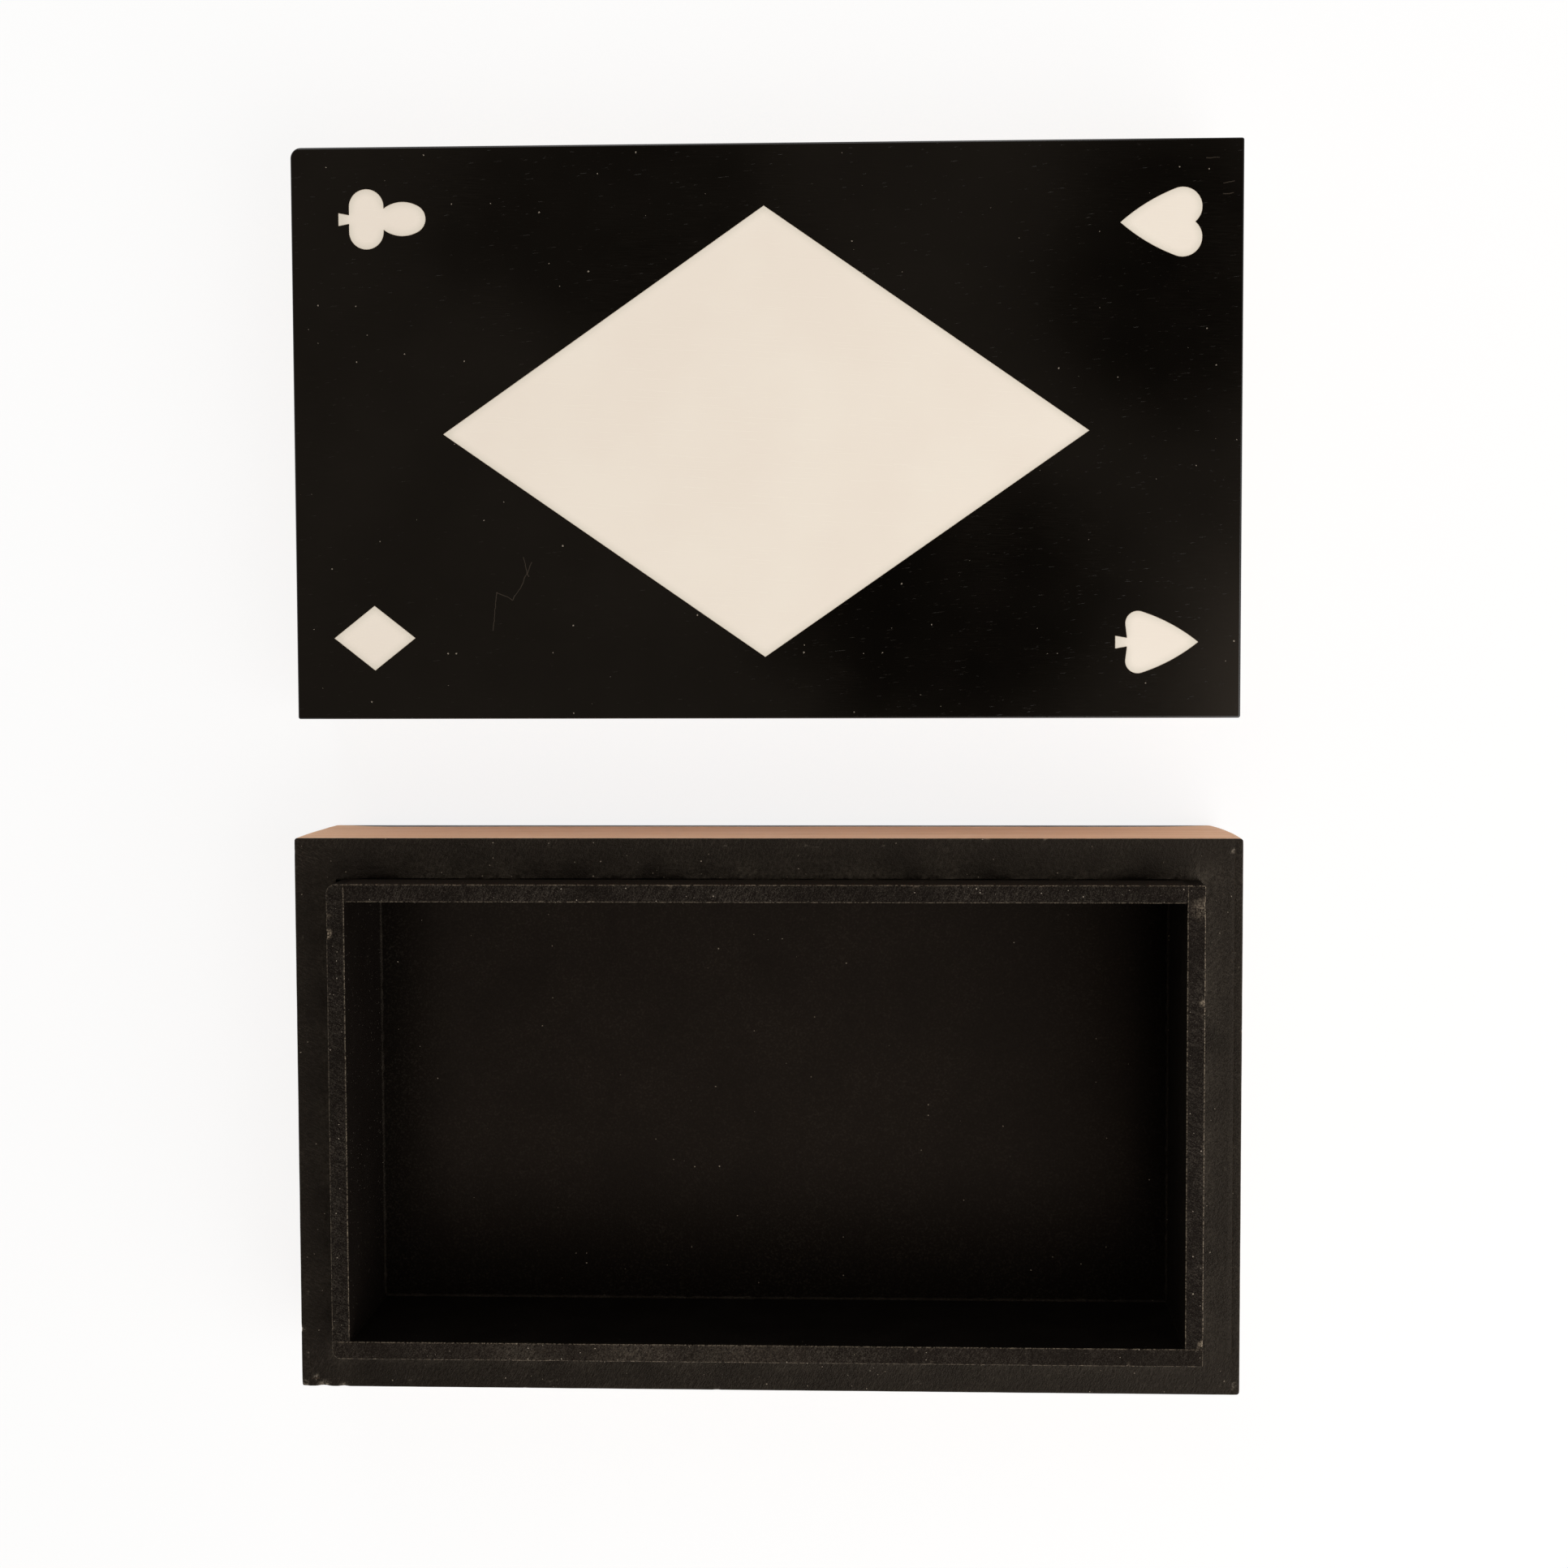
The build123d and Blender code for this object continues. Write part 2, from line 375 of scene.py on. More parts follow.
@dataclass(frozen=True)
class ShadeNearWalls:
    """Painted shade along the walls round a floor: the paint darkens towards each wall, over a margin of its
    own.

    Attributes:
        low: Least x and y of the floor.
        high: Greatest x and y of the floor.
        near: Width of the margins of painted shade at the least x and y.
        far: Width of the margins of painted shade at the greatest x and y.
    """

    low: Pair
    high: Pair
    near: Pair
    far: Pair

    def level(self, look: Shading) -> Source:
        """Builds the share of the lighter middle, against the painted shade along the walls, inside a
        material.

        Args:
            look: Material that gets the film.

        Returns:
            A level that is 0 at the walls and 1 in the middle.
        """
        place = look.add("ShaderNodeSeparateXYZ", {0: look.place}).outputs
        shares = [
            look.add(
                "ShaderNodeMapRange",
                {"Value": place[axis], "From Min": wall, "From Max": wall + margin},
                interpolation_type="SMOOTHSTEP",
            )
            for axis in (0, 1)
            for wall, margin in ((self.low[axis], self.near[axis]), (self.high[axis], -self.far[axis]))
        ]
        return look.product(*shares)


@dataclass(frozen=True)
class Paint:
    """Black paint on fibreboard: soft gloss, orange peel, brush ticks, dust, and pale board where rubbed.

    Attributes:
        name: The material's name.
        run: Axis that the brush followed.
        deep: Colour of the clean paint.
        lifted: Colour where the paint is thick or dusty.
        upright: Colour on upright faces, which hold no dust; it is painted shade where it is darker than the
            top's colour, and painted light where it is lighter.
        dust: Colour of the dust grains.
        bare: Colour of the rubbed board.
        dust_share: Share of the places that hold a dust grain.
        grit_size: Width of the pale grit.
        grit_cover: How strongly the grit shows through.
        tick_turn: Angle of the brush ticks from the run, in radians.
        tick_cover: How strongly the brush ticks hold dust.
        haze_cover: How strongly dust shows where it lies along a foot.
        brush: How much of the relief is brush ticks.
        grain: How much of the rest is fine grain.
        peel_size: Width of one bump of the orange peel.
        relief: Depth of the relief.
        gloss: Roughness of the clean paint.
        shine: Strength of the gloss, where 0.5 is plain lacquer.
        shine_colour: Colour of the gloss, warmed by the film of old wax.
        film: Painted shade that darkens the paint towards the walls round a floor, or none.
        clean: Colour of the painted shade at the walls.
    """

    name: str
    run: Run
    deep: str = "#070504"
    lifted: str = "#0f0b08"
    upright: str = "#0b0806"
    dust: str = "#8d8273"
    bare: str = "#928879"
    dust_share: float = 0.11
    grit_size: float = 0.32
    grit_cover: float = 0.05
    tick_turn: float = math.radians(64)
    tick_cover: float = 0.065
    haze_cover: float = 0.20
    brush: float = 0.18
    grain: float = 0.5
    peel_size: float = 1.1
    relief: float = 0.20
    gloss: float = 0.48
    shine: float = 0.19
    shine_colour: str = "#ffecd6"
    film: ShadeNearWalls | None = None
    clean: str = "#0c0907"

    BARE_ROUGHNESS = 0.85
    # How far the roughness goes below and above that of the clean paint
    SMOOTHER = 0.06
    ROUGHER = 0.08

    def coat(self, look: Shading) -> Coat:
        """Builds the paint's patterns inside a material.

        Args:
            look: Material that gets the paint.

        Returns:
            The paint's colour, roughness and relief.
        """
        patches = look.clouds(size=14.0, low=0.32, high=0.68, detail=3.0)
        peel = look.clouds(size=self.peel_size, low=0.25, high=0.75)
        # The real grain is about 0.15 wide, and is drawn twice as coarse so that it shows
        grain = look.clouds(size=0.30, low=0.25, high=0.75)
        ticks = look.streaks(self.run.turn + self.tick_turn, length=1.8, width=0.4, low=0.46, high=0.70)
        grit = look.clouds(size=self.grit_size, low=0.50, high=0.70)
        # How far a face looks up: dust lies on faces that look up, and upright faces take the upright colour,
        # which is painted light and shade
        dust_and_shade_by_facing = look.add(
            "ShaderNodeMapRange", {"Value": look.rise(), "From Min": 0.2, "From Max": 0.8, "To Min": 0.1}
        )
        tone = look.add("ShaderNodeMix", {0: 0.5, 2: patches, 3: peel})
        colour = look.layers(linear(self.deep), (linear(self.lifted), tone))
        # Painted light and shade: upright faces take their own colour, darker than the top where shade falls
        # and lighter where light falls
        colour = look.layers(linear(self.upright), (colour, dust_and_shade_by_facing))
        # Painted shade: the paint darkens to the clean colour towards the walls round a floor
        if self.film:
            colour = look.layers(linear(self.clean), (colour, self.film.level(look)))
        # Dust lies in the grit and the brush ticks, along a foot, and as single grains
        gritty = look.add("ShaderNodeMix", {0: patches, 2: 0.35, 3: 1.0})
        ticked = look.add("ShaderNodeMix", {0: patches, 2: 0.15, 3: 1.0})
        grains = look.add("ShaderNodeMix", {0: dust_and_shade_by_facing, 2: 0.3, 3: 1.0})
        foot = look.add("ShaderNodeAttribute", attribute_name=DUSTY).outputs["Fac"]
        specks = look.specks(spacing=1.0, radius=0.18, share=self.dust_share)
        rubbed = look.add("ShaderNodeAttribute", attribute_name=WORN).outputs["Fac"]
        broken = look.clouds(size=0.45, low=0.40, high=0.66, detail=4.0)
        bare = look.product(rubbed, broken)
        dust = linear(self.dust)
        colour = look.layers(
            colour,
            (dust, look.product(grit, gritty, dust_and_shade_by_facing, self.grit_cover)),
            (dust, look.product(ticks, ticked, dust_and_shade_by_facing, self.tick_cover)),
            (dust, look.product(foot, patches, peel, self.haze_cover)),
            (dust, look.product(specks, grains)),
            (linear(self.bare), bare),
        )
        soft = look.add("ShaderNodeMix", {0: 0.4, 2: patches, 3: ticks})
        span = {"To Min": self.gloss - self.SMOOTHER, "To Max": self.gloss + self.ROUGHER}
        painted = look.add("ShaderNodeMapRange", {"Value": soft, **span})
        roughness = look.add("ShaderNodeMix", {0: bare, 2: painted, 3: self.BARE_ROUGHNESS})
        skin = look.add("ShaderNodeMix", {0: self.grain, 2: peel, 3: grain})
        height = look.add("ShaderNodeMix", {0: self.brush, 2: skin, 3: ticks})
        return Coat(colour, roughness, height)

    def finish(self, look: Shading, coat: Coat) -> bpy.types.Material:
        """Finishes a material with the paint's depth of relief and gloss.

        Args:
            look: The material.
            coat: Its surface.

        Returns:
            The finished material.
        """
        return look.finish(
            Base_Color=coat.colour,
            Roughness=coat.roughness,
            Normal=look.add("ShaderNodeBump", {"Distance": self.relief * MM, "Height": coat.height}),
            Specular_IOR_Level=self.shine,
            Specular_Tint=linear(self.shine_colour),
        )

    def material(self) -> bpy.types.Material:
        """Makes the material."""
        look = Shading(self.name)
        return self.finish(look, self.coat(look))


@dataclass(frozen=True)
class FootLine:
    """A black band along the foot of a veneer, now narrow, now wider.

    Attributes:
        ends: Least and greatest place along the run that it reaches.
        fades: Length over which it thins out towards each end.
        least: Its least height.
        most: Its greatest height.
    """

    ends: Pair
    fades: Pair
    least: float = 4.2
    most: float = 5.8

    def cover(self, look: Shading, run: Run) -> Source:
        """Builds the line inside a material.

        Args:
            look: Material that gets the line.
            run: Axis that it follows.

        Returns:
            A level that is 1 on the line and 0 above it.
        """
        place = look.add("ShaderNodeSeparateXYZ", {0: look.place}).outputs
        kept = [
            look.add(
                "ShaderNodeMapRange",
                {"Value": place[run.value], "From Min": end, "From Max": end + fade},
                interpolation_type="SMOOTHSTEP",
            )
            for end, fade in zip(self.ends, (self.fades[0], -self.fades[1]))
        ]
        waves = look.clouds(size=42.0, low=0.44, high=0.66, detail=1.0)
        shakes = look.clouds(size=5.0, low=0.2, high=0.8)
        shaky = look.add("ShaderNodeMix", {0: 0.2, 2: waves, 3: shakes})
        height = look.add("ShaderNodeMix", {0: shaky, 2: self.least, 3: self.most})
        top = look.product(height, *kept)
        return look.add("ShaderNodeMath", {0: place[2], 1: top}, operation="LESS_THAN")


@dataclass(frozen=True)
class Veneer:
    """Tan hardwood veneer, sanded and left matt: long soft grain, fine pores, and black paint on its edges.

    Attributes:
        name: The material's name.
        run: Axis that the grain follows.
        paint: Paint on the level edges.
        foot: Black band along the foot, or none.
        pale: Colour of the early wood.
        mid: Colour of the late wood.
        pore: Colour of the pores.
    """

    name: str
    run: Run
    paint: Paint
    foot: FootLine | None = None
    pale: str = "#e1ba99"
    mid: str = "#d0a481"
    pore: str = "#9a6f50"

    def material(self) -> bpy.types.Material:
        """Makes the material."""
        look = Shading(self.name)
        coat = self.paint.coat(look)
        bands = look.streaks(self.run.turn, length=140.0, width=3.2, low=0.30, high=0.70)
        fibres = look.streaks(self.run.turn, length=26.0, width=0.35, low=0.35, high=0.72)
        pores = look.streaks(self.run.turn, length=5.0, width=0.16, low=0.62, high=0.74)
        flush = look.clouds(size=45.0, low=0.35, high=0.65)
        painted = self.painted(look)
        colour = look.layers(
            linear(self.pale),
            (linear(self.mid), bands),
            (linear(self.mid), look.product(fibres, 0.45)),
            (linear(self.pore), look.product(pores, 0.5)),
            (linear(self.pale), look.product(flush, 0.25)),
            (coat.colour, painted),
        )
        satin = look.add("ShaderNodeMapRange", {"Value": fibres, "To Min": 0.52, "To Max": 0.64})
        roughness = look.add("ShaderNodeMix", {0: painted, 2: satin, 3: coat.roughness})
        height = look.add("ShaderNodeMix", {0: painted, 2: look.product(fibres, 0.5), 3: coat.height})
        return self.paint.finish(look, Coat(colour, roughness, height))

    def painted(self, look: Shading) -> Source:
        """Builds the cover of the paint on faces that look up or down, together with the black band along the
        foot.

        Args:
            look: Material that gets the paint.

        Returns:
            A level that is 1 on the paint and 0 on the wood.
        """
        level = look.add("ShaderNodeMath", {0: look.rise()}, operation="ABSOLUTE")
        # The paint ends in a ragged line along the arris
        ragged = look.clouds(size=1.2, low=0.2, high=0.8, detail=3.0)
        edge = look.add("ShaderNodeMapRange", {"Value": ragged, "To Min": 0.14, "To Max": 0.40})
        painted = look.add("ShaderNodeMath", {0: level, 1: edge}, operation="GREATER_THAN")
        if self.foot:
            line = self.foot.cover(look, self.run)
            painted = look.add("ShaderNodeMath", {0: painted, 1: line}, operation="MAXIMUM")
        return painted


@dataclass(frozen=True)
class BlackResin:
    """Cast black polyester resin, sanded and buffed: a deep mirror gloss, faint sanding marks, a little dust.

    Attributes:
        name: The material's name.
        body: Colour of the resin.
        haze: Colour of the faint buffing haze.
        scratch: Colour that a scratch scatters.
        dust: Colour of the dust grains.
        gloss: Roughness of the clean surface.
        mark_gloss: Roughness of a sanding mark.
        mark_cover: How strongly a sanding mark shows.
        mark_depth: Depth of a sanding mark.
        scratch_width: Width of a deeper scratch.
        scratch_cover: How strongly it shows.
        scratches: Corners of each deeper scratch, in x and y.
    """

    name: str = "buffed_black_polyester_resin"
    body: str = "#040302"
    haze: str = "#0a0806"
    scratch: str = "#5a5046"
    dust: str = "#a3988a"
    gloss: float = 0.07
    mark_gloss: float = 0.32
    mark_cover: float = 0.08
    mark_depth: float = 0.004
    scratch_width: float = 0.2
    scratch_cover: float = 0.3
    scratches: tuple[tuple[Pair, ...], ...] = (
        ((-73.3, 130.5), (-72.2, 140.8), (-67.9, 138.7), (-65.7, 142.3), (-62.5, 148.8)),
        ((-65.0, 150.2), (-63.6, 144.9)),
        ((121.0, 247.5), (124.0, 247.9)),
        ((121.0, 244.6), (123.8, 244.8)),
        ((116.5, 254.1), (120.0, 254.1)),
    )

    def material(self) -> bpy.types.Material:
        """Makes the material."""
        look = Shading(self.name)
        haze = look.clouds(size=38.0, low=0.35, high=0.68, detail=3.0)
        zones = look.clouds(size=26.0, low=0.42, high=0.62)
        # Real sanding marks are about 0.05 wide, and are drawn wider so that they show
        fine = look.streaks(math.radians(-2), length=6.0, width=0.30, low=0.36, high=0.84)
        deep = look.streaks(math.radians(6), length=3.2, width=0.18, low=0.71, high=0.77)
        worn = look.product(fine, zones, 0.18)
        marks = look.add("ShaderNodeMath", {0: worn, 1: deep}, operation="MAXIMUM")
        lines = [
            look.hairline(start, end, self.scratch_width)
            for corners in self.scratches
            for start, end in zip(corners, corners[1:])
        ]
        specks = look.specks(spacing=2.6, radius=0.24, share=0.22)
        colour = look.layers(
            linear(self.body),
            (linear(self.haze), haze),
            (linear(self.scratch), look.product(marks, self.mark_cover)),
            *((linear(self.scratch), look.product(line, self.scratch_cover)) for line in lines),
            (linear(self.dust), look.product(specks, 0.6)),
        )
        roughness = look.add("ShaderNodeMix", {0: marks, 2: self.gloss, 3: self.mark_gloss})
        relief = look.add("ShaderNodeBump", {"Distance": self.mark_depth * MM, "Height": marks})
        return look.finish(Base_Color=colour, Roughness=roughness, Normal=relief, IOR=POLYESTER_IOR)


@dataclass(frozen=True)
class IvoryResin:
    """Cast ivory polyester resin, sanded flush and buffed: milky, a little greyer along its thin edges.

    Attributes:
        name: The material's name.
        body: Colour of the resin.
        cloud: Colour of its faint clouds.
        rim: Colour near the edges, where the dark sheet shows through.
        seam: Colour of the glue line at the very edge.
        rim_reach: How far in from the edge the rim's colour reaches.
        seam_reach: How far in the glue line reaches.
        gloss: Roughness of the clean surface.
        mark_gloss: Roughness of a sanding mark.
    """

    name: str = "buffed_ivory_polyester_resin"
    body: str = "#f1e8db"
    cloud: str = "#efe5d8"
    rim: str = "#ddd6c8"
    seam: str = "#8f7458"
    rim_reach: float = 2.4
    seam_reach: float = 0.25
    gloss: float = 0.24
    mark_gloss: float = 0.44

    def material(self) -> bpy.types.Material:
        """Makes the material."""
        look = Shading(self.name)
        clouds = look.clouds(size=24.0, low=0.35, high=0.65, detail=3.0)
        marks = look.streaks(math.radians(-3), length=12.0, width=0.24, low=0.64, high=0.76)
        colour = look.layers(
            linear(self.body),
            (linear(self.cloud), clouds),
            (linear(self.rim), self.edge(look, self.rim_reach, start=0.95, full=0.45, most=1.0)),
            (linear(self.seam), self.edge(look, self.seam_reach, start=0.9, full=0.5, most=0.5)),
            (linear(self.rim), look.product(marks, 0.35)),
        )
        span = {"To Min": self.gloss, "To Max": self.mark_gloss}
        roughness = look.add("ShaderNodeMapRange", {"Value": marks, **span})
        return look.finish(Base_Color=colour, Roughness=roughness, IOR=POLYESTER_IOR)

    @staticmethod
    def edge(look: Shading, reach: float, start: float, full: float, most: float) -> Source:
        """Builds a level that rises towards the piece's edges.

        Args:
            look: Material that gets it.
            reach: How far in from an edge it starts.
            start: Openness of the resin below the face where it starts.
            full: Openness where it is at its most.
            most: Its greatest value.

        Returns:
            The level.
        """
        openness = look.add(
            "ShaderNodeAmbientOcclusion", {"Distance": reach * MM}, inside=True, only_local=True, samples=8
        ).outputs["AO"]
        span = {"From Min": start, "From Max": full, "To Max": most}
        return look.add("ShaderNodeMapRange", {"Value": openness, **span})


@dataclass(frozen=True)
class PinSteel:
    """Drawn mild steel wire: grey metal with a dull film in places.

    Attributes:
        name: The material's name.
        bright: Colour of the clean metal.
        dull: Colour of the oxide film.
    """

    name: str = "drawn_steel_wire"
    bright: str = "#b4b2ae"
    dull: str = "#85817b"

    def material(self) -> bpy.types.Material:
        """Makes the material."""
        look = Shading(self.name)
        film = look.clouds(size=3.0, low=0.35, high=0.65)
        colour = look.layers(linear(self.bright), (linear(self.dull), film))
        roughness = look.add("ShaderNodeMapRange", {"Value": film, "To Min": 0.3, "To Max": 0.5})
        return look.finish(Base_Color=colour, Roughness=roughness, Metallic=1.0)


@dataclass(frozen=True)
class Wear:
    """How the upper edges of a board have been eased and knocked.

    Attributes:
        arris: Rounding of the upper edges.
        ripple: How far the hand-sanded surface dips.
        dents: Number of dents in 100 mm of length.
        dent_radius: Radius of the largest dent.
        dent_depth: Depth of the deepest dent.
        rub: How much of the paint is rubbed off the edges.
    """

    arris: float
    ripple: float
    dents: float
    dent_radius: float
    dent_depth: float
    rub: float


@dataclass(frozen=True)
class Dent:
    """One knock in an edge.

    Attributes:
        place: Its middle.
        radius: Its radius.
        depth: Its depth.
        rub: How much of the paint it took off.
    """

    place: Place
    radius: float
    depth: float
    rub: float

    def bite(self, point: Vector) -> float:
        """Share of the dent's depth at a point, from 0 to 1."""
        share = (point - Vector(self.place)).length / self.radius
        return (1 - share * share) ** 2 if share < 1 else 0.0


@dataclass(frozen=True)
class RoundedCorner:
    """An upright corner that was sanded round, more so towards the floor.

    Attributes:
        place: The square corner, at its top.
        foot_radius: Its radius at the floor.
        top_radius: Its radius at the top.
    """

    place: Vector
    foot_radius: float
    top_radius: float

    # How soon the radius falls off above the floor, where 1 is evenly
    EASE = 2.5

    def move(self, point: Vector) -> Vector:
        """The way from a point near the square corner to its place near the rounded one."""
        low = max(0.0, 1 - point.z / self.place.z) ** self.EASE
        radius = self.top_radius + (self.foot_radius - self.top_radius) * low
        middle = [side - math.copysign(radius, side) for side in self.place.xy]
        away = Vector([point[axis] - middle[axis] for axis in (0, 1)])
        if min(away.x * self.place.x, away.y * self.place.y) <= 0:
            return Vector((0, 0, 0))
        return (away * (max(abs(away.x), abs(away.y)) / away.length - 1)).to_3d()


@dataclass(frozen=True)
class Seam:
    """The line where the top of one board meets another board.

    Attributes:
        depth: How far the paint has sunk into it.
        reach: How far it runs to each side of the base's middle before the paint has filled it.
        dust: How far dust lies out from it.
    """

    depth: float
    reach: float = math.inf
    dust: float = 0.0

    # Depth where the paint has filled the seam, and the length over which it gets there
    FILLED = 0.03
    FADE = 8.0

    def drop(self, along: float) -> float:
        """Depth at a place along the seam, which fades out towards its ends."""
        share = max(0.0, min(1.0, (self.reach - abs(along)) / self.FADE))
        return self.FILLED + (self.depth - self.FILLED) * share


@dataclass
class WornBoard:
    """A board of the base with eased and dented upper edges, which stands for one CAD node.

    Attributes:
        node: CAD node that the board stands for.
        slot: Material slot that the board belongs to; not used.
        run: Axis that it runs along.
        wear: How its edges are worn.
        joined: Seam at each side whose upper edge meets another board, and so stays square.
        chips: Knocks that are listed one by one.
        corners: Radius of each rounded upright corner, by the signs of x and y from the board's middle.
        rounded: Upright corners of the base that this board has a share in.
    """

    node: str
    slot: str
    run: Run
    wear: Wear
    joined: dict[Side, Seam]
    chips: tuple[Dent, ...] = ()
    corners: dict[tuple[int, int], float] = field(default_factory=dict)
    rounded: tuple[RoundedCorner, ...] = ()

    # Where the faces are cut: along and across the board, beside an arris, below the top, above the floor
    STEP = 0.8
    CROSS_STEP = 1.2
    MARGIN = 0.2
    DEPTHS = (1.0, 2.5, 5.0, 9.0)
    FOOT_HEIGHTS = (3.0, 7.0, 12.0, 18.0, 26.0)
    RIPPLE_SIZE = 6.0
    CRUMB_SIZE = 1.8
    # A seam's depth: its least share, and the shares that the ripples and the crumbs of paint add
    SEAM_LEAST = 0.6
    SEAM_RIPPLE = 0.8
    SEAM_CRUMBS = 0.5
    # How far down a dent is rubbed, how far past an arris the rubbing goes, and how much a dent loses
    RUB_DEPTH = 1.5
    RUB_MARGIN = 0.3
    DENT_RUB = 0.5

    def __post_init__(self) -> None:
        """Reads the board's place from its CAD node."""
        low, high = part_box(self.node)
        self.low = low / MM
        self.high = high / MM

    def build(self, material: bpy.types.Material) -> None:
        """Makes the board, hides the CAD node that it stands for, and dresses it.

        Args:
            material: The board's finish.
        """
        mesh = bmesh.new()
        middle = (self.low + self.high) / 2
        bmesh.ops.create_cube(mesh, size=1.0, matrix=Matrix.LocRotScale(middle, None, self.high - self.low))
        self.round_corners(mesh)
        self.ease_top(mesh)
        self.cut_up(mesh)
        self.knock(mesh)
        board = add_piece(f"{self.node}_board", mesh, material)
        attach(board, BASE_BODY)
        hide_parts(self.node)

    def round_corners(self, mesh: bmesh.types.BMesh) -> None:
        """Rounds the upright corners that have a radius."""
        middle = (self.low + self.high) / 2
        for signs, radius in self.corners.items():
            uprights = [
                edge
                for edge in edges_along(mesh, 2, self.high.z - self.low.z)
                if all((vert.co - middle)[axis] * signs[axis] > 0 for vert in edge.verts for axis in (0, 1))
            ]
            bmesh.ops.bevel(mesh, geom=uprights, offset=radius, segments=6, **BEVEL)

    def ease_top(self, mesh: bmesh.types.BMesh) -> None:
        """Rounds the upper edges that meet no other board."""
        rim = [
            edge
            for edge in mesh.edges
            if all(vert.co.z > self.high.z - NEAR for vert in edge.verts)
            and not any(all(self.touches(vert.co, side) for vert in edge.verts) for side in self.joined)
        ]
        bmesh.ops.bevel(mesh, geom=rim, offset=self.wear.arris, segments=4, **BEVEL)

    def gap(self, point: Vector, side: Side) -> float:
        """Distance of a point from one side of the board."""
        axis, sign = side.value
        return abs(point[axis] - (self.high if sign > 0 else self.low)[axis])

    def touches(self, point: Vector, side: Side) -> bool:
        """Tells whether a point lies on one side of the board."""
        return self.gap(point, side) < NEAR

    def dust(self, point: Vector) -> float:
        """Share of dust at a point on the board's top, which thins out away from a dusty seam."""
        shares = [0.0]
        for side, seam in self.joined.items():
            if seam.dust:
                past = max(0.0, abs(point[1 - side.value[0]]) - seam.reach)
                shares.append(1 - math.hypot(self.gap(point, side), past) / seam.dust)
        return max(shares)

    @staticmethod
    def slice(mesh: bmesh.types.BMesh, axis: int, place: float) -> None:
        """Cuts the faces where a plane square to an axis passes through them."""
        normal = Vector((0, 0, 0))
        normal[axis] = 1
        whole = mesh.verts[:] + mesh.edges[:] + mesh.faces[:]
        bmesh.ops.bisect_plane(mesh, geom=whole, plane_co=normal * place, plane_no=normal)

    def cut_up(self, mesh: bmesh.types.BMesh) -> None:
        """Divides the faces finely enough to take the wear."""
        margin = self.wear.arris + self.MARGIN
        rounding = max([*self.corners.values(), 0.0]) + margin
        along = self.run.value
        across = self.run.across
        for place in (self.low[along] + rounding, self.high[along] - rounding):
            self.slice(mesh, along, place)
        for depth in (margin, *self.DEPTHS):
            self.slice(mesh, 2, self.high.z - depth)
        for height in self.FOOT_HEIGHTS:
            self.slice(mesh, 2, self.low.z + height)
        width = self.high[across] - self.low[across] - 2 * margin
        strips = max(1, round(width / self.CROSS_STEP))
        for strip in range(strips + 1):
            self.slice(mesh, across, self.low[across] + margin + width * strip / strips)
        span = self.high[along] - self.low[along] - 2 * rounding
        long_edges = edges_along(mesh, along, span)
        bmesh.ops.subdivide_edges(mesh, edges=long_edges, cuts=round(span / self.STEP), use_grid_fill=True)

    def dents(self) -> list[Dent]:
        """The knocks along both upper long edges, always the same for one board."""
        chance = random.Random(self.node)
        along = self.run.value
        across = self.run.across
        length = self.high[along] - self.low[along]
        made = list(self.chips)
        for _ in range(round(self.wear.dents * length / 100)):
            place = Vector((0, 0, self.high.z))
            place[along] = chance.uniform(self.low[along], self.high[along])
            place[across] = chance.choice((self.low[across], self.high[across]))
            share = chance.uniform(0.3, 1.0)
            radius = self.wear.dent_radius * share
            made.append(Dent(tuple(place), radius, self.wear.dent_depth * share, self.DENT_RUB))
        return made

    def knock(self, mesh: bmesh.types.BMesh) -> None:
        """Sinks the ripples and dents into the surface, and marks where the paint is rubbed or dusty."""
        mesh.normal_update()
        worn = mesh.verts.layers.float.new(WORN)
        dusty = mesh.verts.layers.float.new(DUSTY)
        dents = self.dents()
        moves = []
        for vert in mesh.verts:
            depth = self.high.z - vert.co.z
            wave = 0.5 + 0.5 * noise.noise(vert.co / self.RIPPLE_SIZE)
            sink = self.wear.ripple * wave * max(0.0, 1 - depth / self.DEPTHS[-1])
            knocked = 0.0
            for dent in dents:
                bite = dent.bite(vert.co)
                sink += dent.depth * bite
                knocked = max(knocked, dent.rub * bite * max(0.0, 1 - depth / self.RUB_DEPTH))
            seams = {side: seam for side, seam in self.joined.items() if self.touches(vert.co, side)}
            move = vert.normal * sink
            for side in seams:
                move[side.value[0]] = 0.0
            if seams and depth < NEAR:
                move.z = sink + self.opened(vert.co, seams, wave)
            tilt = max(0.0, min(1.0, vert.normal.z))
            eased = depth < self.wear.arris + self.RUB_MARGIN and not seams
            # The rubbing is strongest half-way round an arris
            vert[worn] = min(1.0, self.wear.rub * 4 * tilt * (1 - tilt) * eased + knocked)
            if depth < self.wear.arris:
                vert[dusty] = self.dust(vert.co)
            moves.append(sum((corner.move(vert.co) for corner in self.rounded), -move))
        for vert, move in zip(mesh.verts, moves):
            vert.co += move

    def opened(self, point: Vector, seams: dict[Side, Seam], wave: float) -> float:
        """How far the paint has sunk into the seams at a point.

        Args:
            point: The point.
            seams: Seams that it lies on.
            wave: Level of the ripples there, from 0 to 1.

        Returns:
            The depth.
        """
        depth = max(seam.drop(point[1 - side.value[0]]) for side, seam in seams.items())
        crumbs = self.SEAM_CRUMBS * noise.noise(point / self.CRUMB_SIZE)
        return depth * (self.SEAM_LEAST + self.SEAM_RIPPLE * wave + crumbs)


